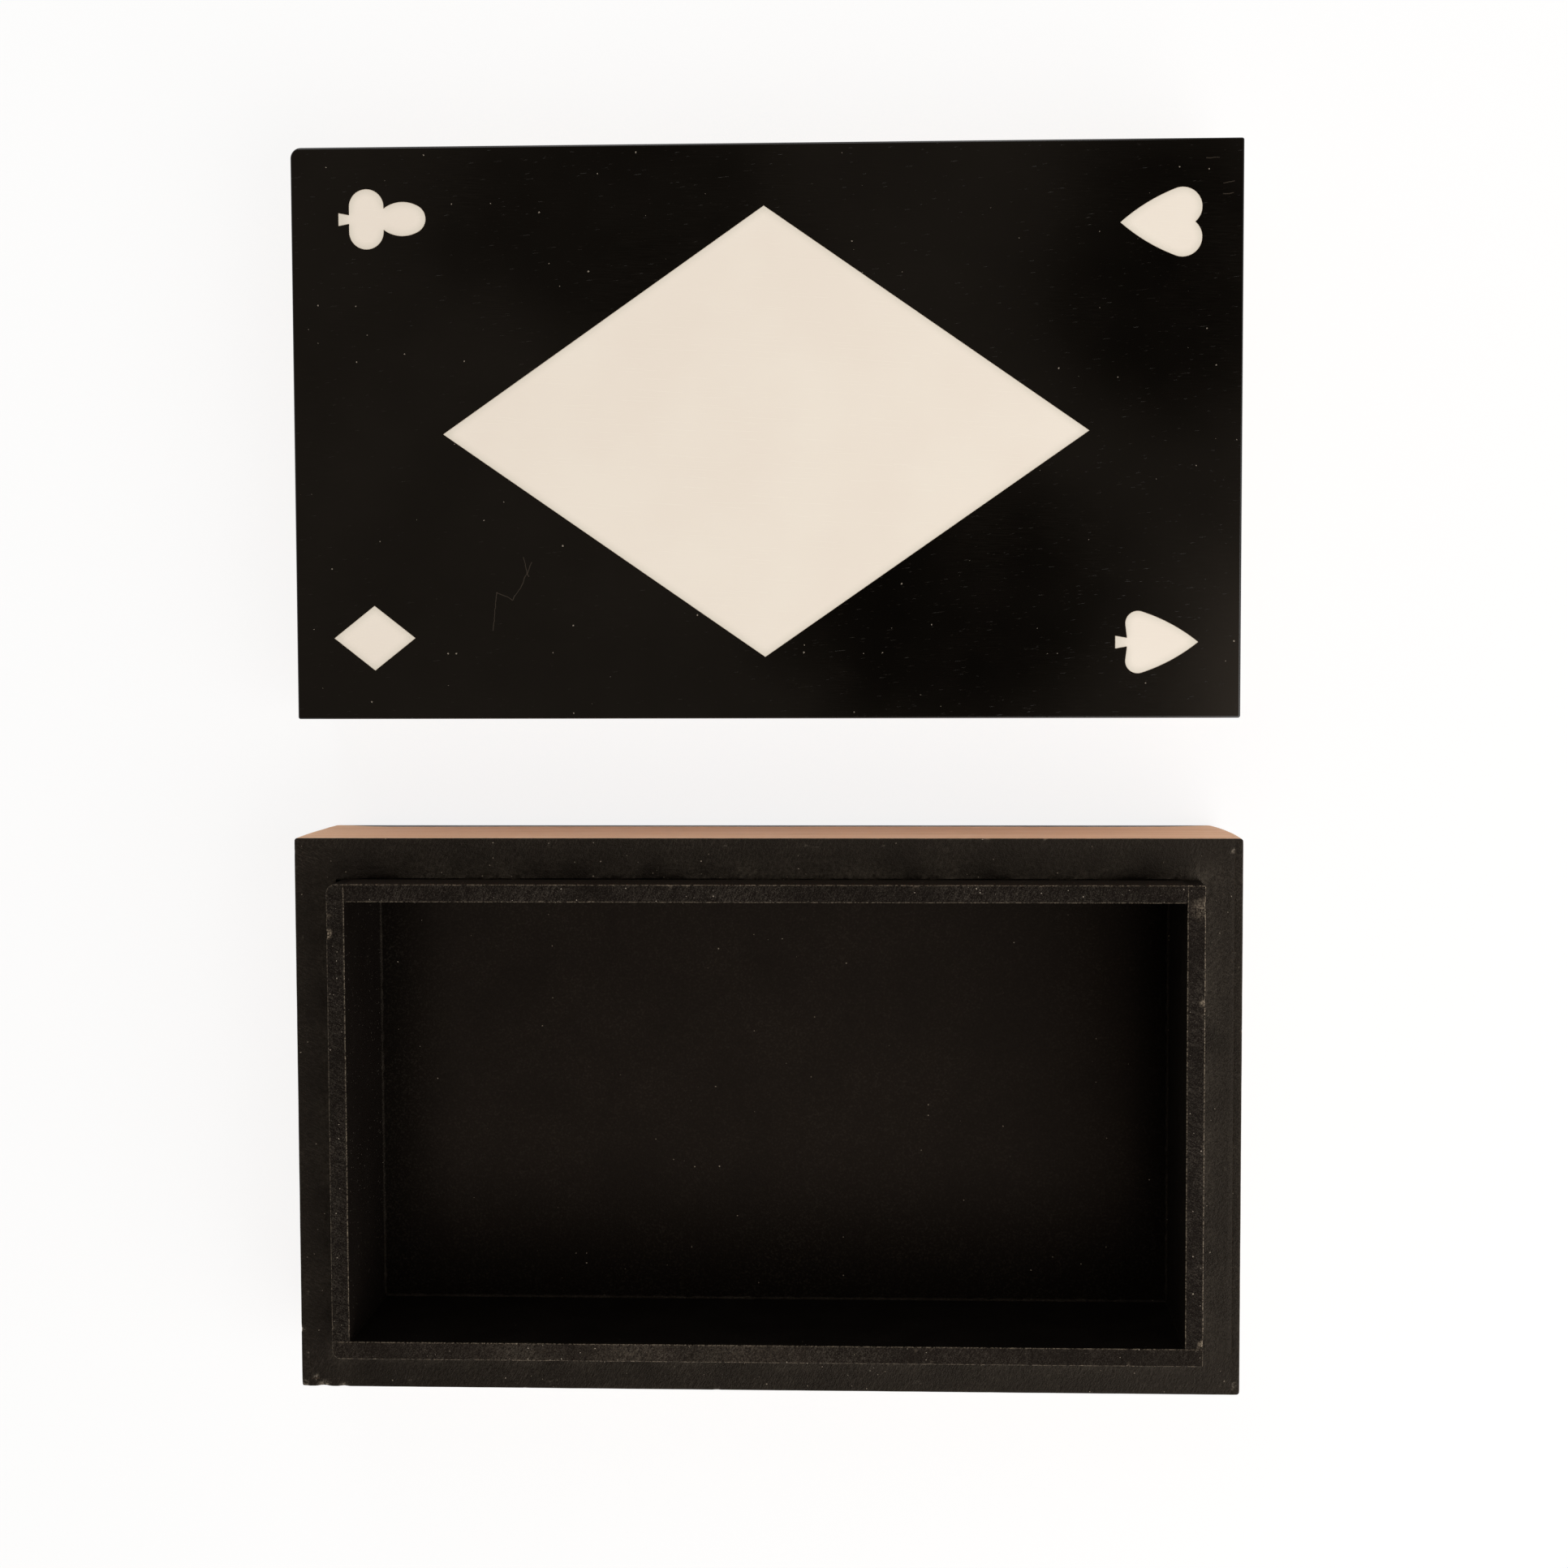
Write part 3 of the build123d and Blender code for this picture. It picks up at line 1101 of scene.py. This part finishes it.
@dataclass
class GlueBead:
    """Painted glue in the corners of the well: quarter rounds along the floor and up the four corners.

    Attributes:
        floor_radius: Radius of the bead along the floor.
        corner_radius: Radius of the bead in an upright corner.
        stop: How far below the lip the upright beads stop.
    """

    floor_radius: float = 0.9
    corner_radius: float = 0.7
    stop: float = 1.5

    # Share of a bead's width that is rounded
    ROUNDING = 0.9
    # Uneven width of a bead: its mean share, how far it goes from that, and its waves in 1 mm
    SWELL_MEAN = 0.75
    SWELL_REACH = 0.7
    SWELL_WAVES = 0.35

    def build(self, material: bpy.types.Material) -> None:
        """Makes the beads as one piece.

        Args:
            material: Their finish.
        """
        (left, front), (right, back) = Base.well()
        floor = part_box("base_bottom_panel")[1].z / MM
        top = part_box("liner_front")[1].z / MM - self.stop
        low = self.floor_radius
        slim = self.corner_radius
        mesh = bmesh.new()
        for y_sign, y in ((1, front), (-1, back)):
            self.add_bead(mesh, (left, y, floor), (right, y + y_sign * low, floor + low))
        for x_sign, x in ((1, left), (-1, right)):
            self.add_bead(mesh, (x, front, floor), (x + x_sign * low, back, floor + low))
            for y_sign, y in ((1, front), (-1, back)):
                self.add_bead(mesh, (x, y, floor), (x + x_sign * slim, y + y_sign * slim, top))
        beads = add_piece("well_glue_beads", mesh, material)
        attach(beads, BASE_BODY)

    def add_bead(self, mesh: bmesh.types.BMesh, inner: Place, outer: Place) -> None:
        """Adds one quarter round.

        Args:
            mesh: Mesh that gets it.
            inner: End of the corner line that it lies in.
            outer: Opposite corner of its box.
        """
        start, end = Vector(inner), Vector(outer)
        size = Vector([abs(reach) for reach in end - start])
        along = max(range(3), key=lambda axis: size[axis])
        sides = [axis for axis in range(3) if axis != along]
        bead = bmesh.new()
        bmesh.ops.create_cube(bead, size=1.0, matrix=Matrix.LocRotScale((start + end) / 2, None, size))
        free = [
            edge
            for edge in bead.edges
            if all(abs(vert.co[axis] - end[axis]) < NEAR for vert in edge.verts for axis in sides)
        ]
        radius = min(size[axis] for axis in sides) * self.ROUNDING
        bmesh.ops.bevel(bead, geom=free, offset=radius, segments=4, **BEVEL)
        long_edges = edges_along(bead, along, size[along])
        bmesh.ops.subdivide_edges(bead, edges=long_edges, cuts=round(size[along]), use_grid_fill=True)
        for vert in bead.verts:
            wave = noise.noise((vert.co[along] * self.SWELL_WAVES, *(start[axis] for axis in sides)))
            swell = self.SWELL_MEAN + self.SWELL_REACH * wave
            for axis in sides:
                vert.co[axis] = start[axis] + (vert.co[axis] - start[axis]) * swell
        data = bpy.data.meshes.new("bead")
        bead.to_mesh(data)
        bead.free()
        mesh.from_mesh(data)
        bpy.data.meshes.remove(data)


@dataclass
class Base:
    """The base: walls with a ledge, tan facings, a bottom, and a liner whose boards stand up as the lip.

    Attributes:
        lip_wear: Wear of the lip's boards.
        lip_rubs: How much of the paint is rubbed off the lip, by its side.
        ledge_wear: Wear of the walls' upper edges.
        facing_wear: Wear of the facings' upper edges.
        lip_left_radius: Rounding of the lip's left corners.
        lip_right_radius: Rounding of the lip's right corners.
        filled_seam: Seam that the paint has filled.
        worn_seam: Seam that shows faintly.
        open_seam: Seam that has opened.
        foot_depth: Depth of the seam at the lip's foot.
        foot_dust: How far dust lies out from the lip's foot.
        line_past: How far past a facing's ends the line along its foot is laid out, to go round the corner.
        line_cut: Length over which that line ends where it is whole.
        line_fade: Length over which it thins out towards the back corners.
        corner_radii: Radius of each upright corner at the floor and at the ledge, by its signs of x and y.
        chips: Knocks that the photograph shows, by the board.
    """

    lip_wear: Wear = Wear(arris=0.35, ripple=0.10, dents=6, dent_radius=1.0, dent_depth=0.20, rub=0.6)
    lip_rubs: dict[str, float] = field(default_factory=lambda: {"right": 1.0})
    ledge_wear: Wear = Wear(arris=0.2, ripple=0.06, dents=1, dent_radius=0.8, dent_depth=0.10, rub=0.1)
    facing_wear: Wear = Wear(arris=0.4, ripple=0.05, dents=3, dent_radius=0.9, dent_depth=0.15, rub=0.1)
    lip_left_radius: float = 2.4
    lip_right_radius: float = 0.5
    filled_seam: Seam = Seam(Seam.FILLED)
    worn_seam: Seam = Seam(0.07)
    open_seam: Seam = Seam(0.12)
    foot_depth: float = 0.35
    foot_dust: float = 7.0
    line_past: float = 1.0
    line_cut: float = 0.1
    line_fade: float = 18.0
    corner_radii: dict[tuple[int, int], Pair] = field(
        default_factory=lambda: {
            (1, 1): (4.6, 0.9),
            (-1, 1): (2.8, 0.8),
            (1, -1): (3.0, 0.9),
            (-1, -1): (3.0, 0.7),
        }
    )
    chips: dict[str, tuple[Dent, ...]] = field(
        default_factory=lambda: {
            "base_right_wall": (Dent((124.3, 71.8, 44), radius=0.8, depth=0.15, rub=1.0),),
            "base_right_facing": (Dent((125.4, -72.3, 43.6), radius=1.0, depth=0.2, rub=1.0),),
            "base_front_wall": (Dent((-123.0, -72.3, 43.7), radius=1.1, depth=0.2, rub=1.0),),
            "base_left_facing": (
                Dent((-126.0, -74.2, 43.5), radius=1.4, depth=0.3, rub=1.0),
                Dent((-127.0, -59.1, 44), radius=0.9, depth=0.25, rub=1.0),
            ),
            "base_front_facing": (
                Dent((-121.0, -75.0, 44), radius=2.4, depth=0.3, rub=0.9),
                Dent((-115.5, -75.0, 44), radius=1.8, depth=0.2, rub=0.7),
            ),
            "liner_left": (Dent((-115.8, 50.4, 57), radius=1.6, depth=0.3, rub=1.6),),
            "liner_right": (
                Dent((115.8, 33.2, 57), radius=1.3, depth=0.25, rub=1.6),
                Dent((115.0, 57.8, 57), radius=4.0, depth=0.12, rub=0.4),
                Dent((115.8, -57.6, 57), radius=1.2, depth=0.2, rub=1.6),
            ),
            "liner_front": (
                Dent((-65.4, -61.0, 57), radius=18, depth=0.0, rub=0.05),
                Dent((-36.0, -60.0, 57), radius=20, depth=0.0, rub=0.08),
                Dent((-5.0, -61.0, 57), radius=26, depth=0.0, rub=0.07),
            ),
        }
    )

    # Clean, lifted and upright colour of the lip's paint, by its side; the upright colour is painted shade on
    # the front board and painted light on the other boards
    LIP_COLOURS = {
        "front": ("#0e0a08", "#16110e", "#030202"),
        "back": ("#080504", "#0f0b09", "#1c1713"),
        "left": ("#070504", "#0e0a08", "#0f0b09"),
        "right": ("#0a0706", "#110d0b", "#0c0907"),
    }
    # Sides where each board of the liner butts against another
    LIP_BUTTS = {"left": (Side.FRONT,), "right": (Side.FRONT,), "back": (Side.LEFT, Side.RIGHT)}

    @staticmethod
    def well() -> tuple[Pair, Pair]:
        """The least and the greatest x and y of the well's floor."""
        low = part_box("liner_left")[1].x / MM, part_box("liner_front")[1].y / MM
        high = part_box("liner_right")[0].x / MM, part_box("liner_back")[0].y / MM
        return low, high

    def rounded(self) -> tuple[RoundedCorner, ...]:
        """The four upright corners, which were sanded round."""
        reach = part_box("base_right_facing")[1] / MM
        return tuple(
            RoundedCorner(Vector((x_sign * reach.x, y_sign * reach.y, reach.z)), *radii)
            for (x_sign, y_sign), radii in self.corner_radii.items()
        )

    def build(self) -> None:
        """Makes the worn boards and dresses the other pieces."""
        paints = {run: Paint(f"brushed_black_paint_{run.name.lower()}", run) for run in Run}
        ledges = {run: paint.material() for run, paint in paints.items()}
        for place, run in RUNS.items():
            self.build_wall(place, run, ledges[run])
            self.build_liner(place, run, self.lip_paint(place, run).material())
            veneer = Veneer(f"tan_veneer_{place}", run, paints[run], self.foot_line(place, run))
            self.build_facing(place, run, veneer.material())
        dress("base_bottom_panel", self.well_paint().material())
        bead = Paint("dusty_black_paint_bead", Run.X, dust_share=0.14, grit_cover=0.10, gloss=0.6, shine=0.08)
        GlueBead().build(bead.material())
        dress("base_corner_pins", PinSteel().material())

    def well_paint(self) -> Paint:
        """The sprayed paint of the well's floor, with painted shade that darkens it towards the walls."""
        return Paint(
            "sprayed_black_paint_well",
            Run.X,
            deep="#171310",
            lifted="#1e1915",
            dust_share=0.02,
            grit_size=0.6,
            grit_cover=0.03,
            tick_cover=0.0,
            brush=0.0,
            peel_size=0.7,
            relief=0.06,
            gloss=0.72,
            shine=0.06,
            # Painted shade: the floor darkens to this colour towards the walls, over the widest margin at the
            # front
            clean="#060403",
            film=ShadeNearWalls(*self.well(), near=(24, 46), far=(14, 4)),
        )

    def lip_paint(self, place: str, run: Run) -> Paint:
        """The thin, rubbed paint of one board of the liner.

        Args:
            place: Side of the base.
            run: Axis that the board runs along.

        Returns:
            The paint.
        """
        # The upright colour is painted light and shade on the board's upright faces
        deep, lifted, upright = self.LIP_COLOURS[place]
        return Paint(
            f"rubbed_black_paint_{place}",
            run,
            deep=deep,
            lifted=lifted,
            upright=upright,
            dust="#948a7c",
            bare="#a39480",
            dust_share=0.18,
            grit_size=0.28,
            grit_cover=0.14,
            brush=0.1,
            grain=0.6,
            peel_size=0.7,
            relief=0.24,
            gloss=0.66,
            shine=0.08,
        )

    def foot_line(self, place: str, run: Run) -> FootLine:
        """The black line along the foot of one facing, which is whole except near the back corners.

        Args:
            place: Side of the base.
            run: Axis that the facing runs along.

        Returns:
            The line.
        """
        low, high = (corner[run.value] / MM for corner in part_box(f"base_{place}_facing"))
        near = self.line_fade if place == "back" else self.line_cut
        far = self.line_cut if place == "front" else self.line_fade
        return FootLine((low - self.line_past, high + self.line_past), (near, far))

    def build_wall(self, place: str, run: Run, paint: bpy.types.Material) -> None:
        """Makes one wall of the base.

        Args:
            place: Side of the base.
            run: Axis that it runs along.
            paint: Its finish.
        """
        node = f"base_{place}_wall"
        seams = {side: self.filled_seam for side in Side}
        lip_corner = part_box("liner_front")[0] / MM
        foot = Seam(self.foot_depth, abs(lip_corner[run.value]), self.foot_dust)
        seams[Side[place.upper()].opposite] = foot
        if place in ("back", "right"):
            seams[Side.RIGHT] = self.open_seam
        chips = self.chips.get(node, ())
        board = WornBoard(node, PAINTED_SLOT, run, self.ledge_wear, seams, chips, rounded=self.rounded())
        board.build(paint)

    def build_liner(self, place: str, run: Run, paint: bpy.types.Material) -> None:
        """Makes one board of the liner, whose top is the lip.

        Args:
            place: Side of the base.
            run: Axis that it runs along.
            paint: Its finish.
        """
        node = f"liner_{place}"
        corners = {
            "front": {(-1, -1): self.lip_left_radius, (1, -1): self.lip_right_radius},
            "left": {(-1, 1): self.lip_left_radius},
            "right": {(1, 1): self.lip_right_radius},
            "back": {},
        }
        seams = {side: self.open_seam for side in self.LIP_BUTTS.get(place, ())}
        wear = replace(self.lip_wear, rub=self.lip_rubs.get(place, self.lip_wear.rub))
        chips = self.chips.get(node, ())
        WornBoard(node, PAINTED_SLOT, run, wear, seams, chips, corners[place]).build(paint)

    def build_facing(self, place: str, run: Run, veneer: bpy.types.Material) -> None:
        """Makes one facing of the base.

        Args:
            place: Side of the base.
            run: Axis that it runs along.
            veneer: Its finish.
        """
        node = f"base_{place}_facing"
        side = Side[place.upper()]
        seams = {side.opposite: self.worn_seam if place == "right" else self.filled_seam}
        if run is Run.X:
            seams |= {Side.LEFT: self.filled_seam, Side.RIGHT: self.filled_seam}
        chips = self.chips.get(node, ())
        board = WornBoard(node, VENEER_SLOT, run, self.facing_wear, seams, chips, rounded=self.rounded())
        board.build(veneer)


@dataclass
class Lid:
    """The lid: walls, a panel, tan facings, and a black resin sheet with ivory inlays.

    Attributes:
        motifs: Names of the inlays.
    """

    motifs: tuple[str, ...] = ("large_diamond", "small_diamond", "club", "heart", "spade")

    def build(self) -> None:
        """Dresses the lid's pieces."""
        dress("lid_top_sheet", BlackResin().material())
        ivory = IvoryResin().material()
        for motif in self.motifs:
            dress(f"inlay_{motif}", ivory)
        paints = {run: Paint(f"brushed_black_paint_lid_{run.name.lower()}", run) for run in Run}
        insides = {run: paint.material() for run, paint in paints.items()}
        veneers = {
            run: Veneer(f"tan_veneer_lid_{run.name.lower()}", run, paint).material()
            for run, paint in paints.items()
        }
        for place, run in RUNS.items():
            dress(f"lid_{place}_wall", insides[run])
            dress(f"lid_{place}_facing", veneers[run])
        dress("lid_panel", Paint("sprayed_black_paint_lid", Run.X, brush=0.0).material())
        dress("lid_corner_pins", PinSteel().material())


def dress(node: str, material: bpy.types.Material) -> None:
    """Gives a CAD node its finish.

    Args:
        node: The CAD node.
        material: Its material.
    """
    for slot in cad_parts[node].material_slots:
        slot.material = material
    log.info("%s: %s", node, material.name)


@dataclass(frozen=True)
class Softbox:
    """A square lamp with an even face.

    Attributes:
        name: Its name.
        place: Where it hangs.
        aim: The point that it faces.
        side: Length of its side.
        level: Brightness of its face, where 1 is white.
    """

    name: str
    place: Place
    aim: Place
    side: float
    level: float

    def hang(self) -> None:
        """Adds the lamp to the scene."""
        lamp = bpy.data.lights.new(self.name, "AREA")
        lamp.shape = "SQUARE"
        lamp.size = self.side * MM
        lamp.energy = self.level * math.pi * lamp.size**2
        holder = bpy.data.objects.new(self.name, lamp)
        place = Vector(self.place) * MM
        way = Vector(self.aim) * MM - place
        holder.matrix_world = Matrix.LocRotScale(place, way.to_track_quat("-Z", "Y"), None)
        bpy.context.scene.collection.objects.link(holder)
        log.info("%s: lamp", self.name)


@dataclass(frozen=True)
class Patch:
    """A soft oval of the studio's ceiling that is brighter or darker than the rest.

    Attributes:
        middle: Its middle, as the slope of the way there from straight up, in x and y.
        reach: Half its size in the same slopes.
        gain: Its brightness as a share of the ceiling's.
    """

    middle: Pair
    reach: Pair
    gain: float

    # Shares of the reach where the oval starts to fade and where it is gone
    CORE = 0.5
    RIM = 1.2

    def shade(self, tree: bpy.types.NodeTree, level: Level, slope: Source) -> Source:
        """Brightens or darkens the ceiling inside the patch.

        Args:
            tree: The world's node tree.
            level: Brightness of the ceiling so far.
            slope: Slope of the way from straight up.

        Returns:
            The new brightness.
        """
        stretch = [1 / reach for reach in self.reach]
        shift = [-place * share for place, share in zip(self.middle, stretch)]
        oval = {0: slope, 1: (*stretch, 0), 2: (*shift, 0)}
        within = add_node(tree, "ShaderNodeVectorMath", oval, operation="MULTIPLY_ADD")
        away = add_node(tree, "ShaderNodeVectorMath", {0: within}, operation="LENGTH").outputs["Value"]
        span = {"From Min": self.CORE, "From Max": self.RIM, "To Min": self.gain, "To Max": 1.0}
        gain = add_node(
            tree, "ShaderNodeMapRange", {"Value": away, **span}, interpolation_type="SMOOTHSTEP"
        )
        return add_node(tree, "ShaderNodeMath", {0: level, 1: gain}, operation="MULTIPLY")


@dataclass
class Studio:
    """Pale floor, soft light, and a camera where the photograph was taken from.

    Attributes:
        photo_side: Side of the photograph in pixels.
        focal_pixels: Focal length of the fitted camera in pixels of the photograph.
        camera_place: Where the camera stands.
        camera_turn: The camera's turn about X, Y and Z from straight down, in degrees.
        floor_side: Side of the floor.
        floor_colour: Colour of the floor.
        floor_glow: Share of plain white in the floor that the eye sees.
        wall_level: Brightness of the studio low down.
        ceiling_level: Brightness of the studio overhead.
        ceiling_colour: Colour of the studio overhead.
        ceiling_rise: Heights of the way, of 1 straight up, between which the walls turn into the ceiling.
        patches: Brighter and darker places of the ceiling, which the polished lid reflects.
        lamps: The softboxes.
    """

    photo_side: float = 1932
    focal_pixels: float = 3298
    camera_place: Place = (37.47, 134.55, 755.57)
    camera_turn: Place = (-3.626, 2.591, -0.185)
    floor_side: float = 12000
    floor_colour: str = "#fdfdfc"
    floor_glow: float = 0.85
    wall_level: float = 1.0
    ceiling_level: float = 0.16
    ceiling_colour: str = "#ffe9d1"
    ceiling_rise: Pair = (0.35, 0.72)
    patches: tuple[Patch, ...] = (
        Patch((-0.105, 0.148), (0.080, 0.055), 0.30),
        Patch((0.014, 0.004), (0.075, 0.060), 0.05),
        Patch((0.095, 0.125), (0.050, 0.070), 0.08),
        Patch((0.170, -0.070), (0.070, 0.120), 4.0),
    )
    lamps: tuple[Softbox, ...] = (
        Softbox("key_softbox", (770, -475, 1070), (0, 60, 30), 1300, 3.15),
        Softbox("back_softbox", (-150, 950, 950), (0, 75, 30), 700, 1.8),
    )

    def build(self) -> None:
        """Makes the floor, the light and the camera."""
        bpy.context.scene.view_settings.view_transform = "Standard"
        self.lay_floor()
        self.light_walls()
        for lamp in self.lamps:
            lamp.hang()
        self.set_camera()

    def lay_floor(self) -> None:
        """Lays the floor, white to the eye but with the object's shadow."""
        material = bpy.data.materials.new("pale_studio_floor")
        material.use_nodes = True
        tree = material.node_tree
        tree.nodes.clear()
        paper = add_node(tree, "ShaderNodeBsdfDiffuse", {"Color": linear(self.floor_colour)})
        white = add_node(tree, "ShaderNodeEmission", {"Color": linear(WHITE), "Strength": 1.0})
        ray = add_node(tree, "ShaderNodeLightPath").outputs
        seen = ray["Is Camera Ray"]
        for way in ("Is Glossy Ray", "Is Transmission Ray"):
            seen = add_node(tree, "ShaderNodeMath", {0: seen, 1: ray[way]}, operation="MAXIMUM")
        share = add_node(tree, "ShaderNodeMath", {0: seen, 1: self.floor_glow}, operation="MULTIPLY")
        both = add_node(tree, "ShaderNodeMixShader", {0: share, 1: paper, 2: white})
        add_node(tree, "ShaderNodeOutputMaterial", {"Surface": both})
        mesh = bmesh.new()
        bmesh.ops.create_grid(mesh, x_segments=1, y_segments=1, size=self.floor_side / 2)
        floor = add_piece("studio_floor", mesh, material)

    def light_walls(self) -> None:
        """Makes the studio's walls pale and its ceiling dark."""
        world = bpy.data.worlds.new("studio")
        bpy.context.scene.world = world
        world.use_nodes = True
        tree = world.node_tree
        tree.nodes.clear()
        way = add_node(tree, "ShaderNodeTexCoord").outputs["Generated"]
        height = add_node(tree, "ShaderNodeSeparateXYZ", {0: way}).outputs[2]
        start, full = self.ceiling_rise
        overhead = add_node(
            tree,
            "ShaderNodeMapRange",
            {"Value": height, "From Min": start, "From Max": full},
            interpolation_type="SMOOTHSTEP",
        )
        slope = add_node(tree, "ShaderNodeVectorMath", {0: way, 1: height}, operation="DIVIDE")
        ceiling = self.ceiling_level
        for patch in self.patches:
            ceiling = patch.shade(tree, ceiling, slope)
        level = add_node(tree, "ShaderNodeMix", {0: overhead, 2: self.wall_level, 3: ceiling})
        colours = {0: overhead, 6: linear(WHITE), 7: linear(self.ceiling_colour)}
        colour = add_node(tree, "ShaderNodeMix", colours, data_type="RGBA").outputs[2]
        glow = add_node(tree, "ShaderNodeBackground", {"Color": colour, "Strength": level})
        add_node(tree, "ShaderNodeOutputWorld", {"Surface": glow})

    def set_camera(self) -> None:
        """Sets the camera at the photograph's place, turn and focal length."""
        lens = bpy.data.cameras.new("photo_camera")
        lens.sensor_width = 36.0
        lens.lens = self.focal_pixels / self.photo_side * lens.sensor_width
        camera = bpy.data.objects.new("photo_camera", lens)
        camera.location = Vector(self.camera_place) * MM
        camera.rotation_euler = [math.radians(turn) for turn in self.camera_turn]
        bpy.context.scene.collection.objects.link(camera)
        bpy.context.scene.camera = camera


def main() -> None:
    """Builds the base, the lid and the studio."""
    logging.basicConfig(level=logging.INFO, format="%(message)s")
    Base().build()
    Lid().build()
    Studio().build()


if __name__ == "__main__":
    main()
